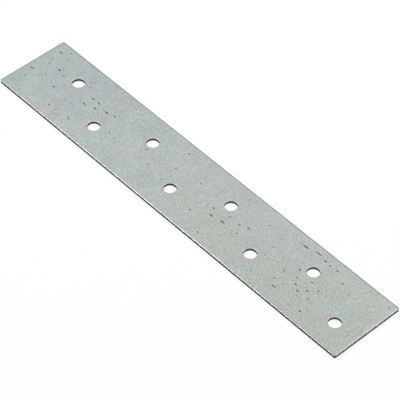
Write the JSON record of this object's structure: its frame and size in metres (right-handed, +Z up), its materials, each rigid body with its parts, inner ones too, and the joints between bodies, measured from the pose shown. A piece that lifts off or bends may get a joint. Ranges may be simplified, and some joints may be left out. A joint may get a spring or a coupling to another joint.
{
  "type": "mending plate",
  "caption": "Flat galvanised steel mending plate, a straight strip with two staggered rows of round nail holes for joining timbers end to end.",
  "frame": {"origin": "centre of the underside", "axes": "+X along the strip towards the end with the shorter margin, +Y across it, +Z up through the sheet to the rolled top side"},
  "size_m": [0.216, 0.0382, 0.0018],
  "materials": {
    "galvanised_steel": "satin"
  },
  "bodies": {
    "root": {"mending_plate": "galvanised_steel"}
  },
  "joints": []
}
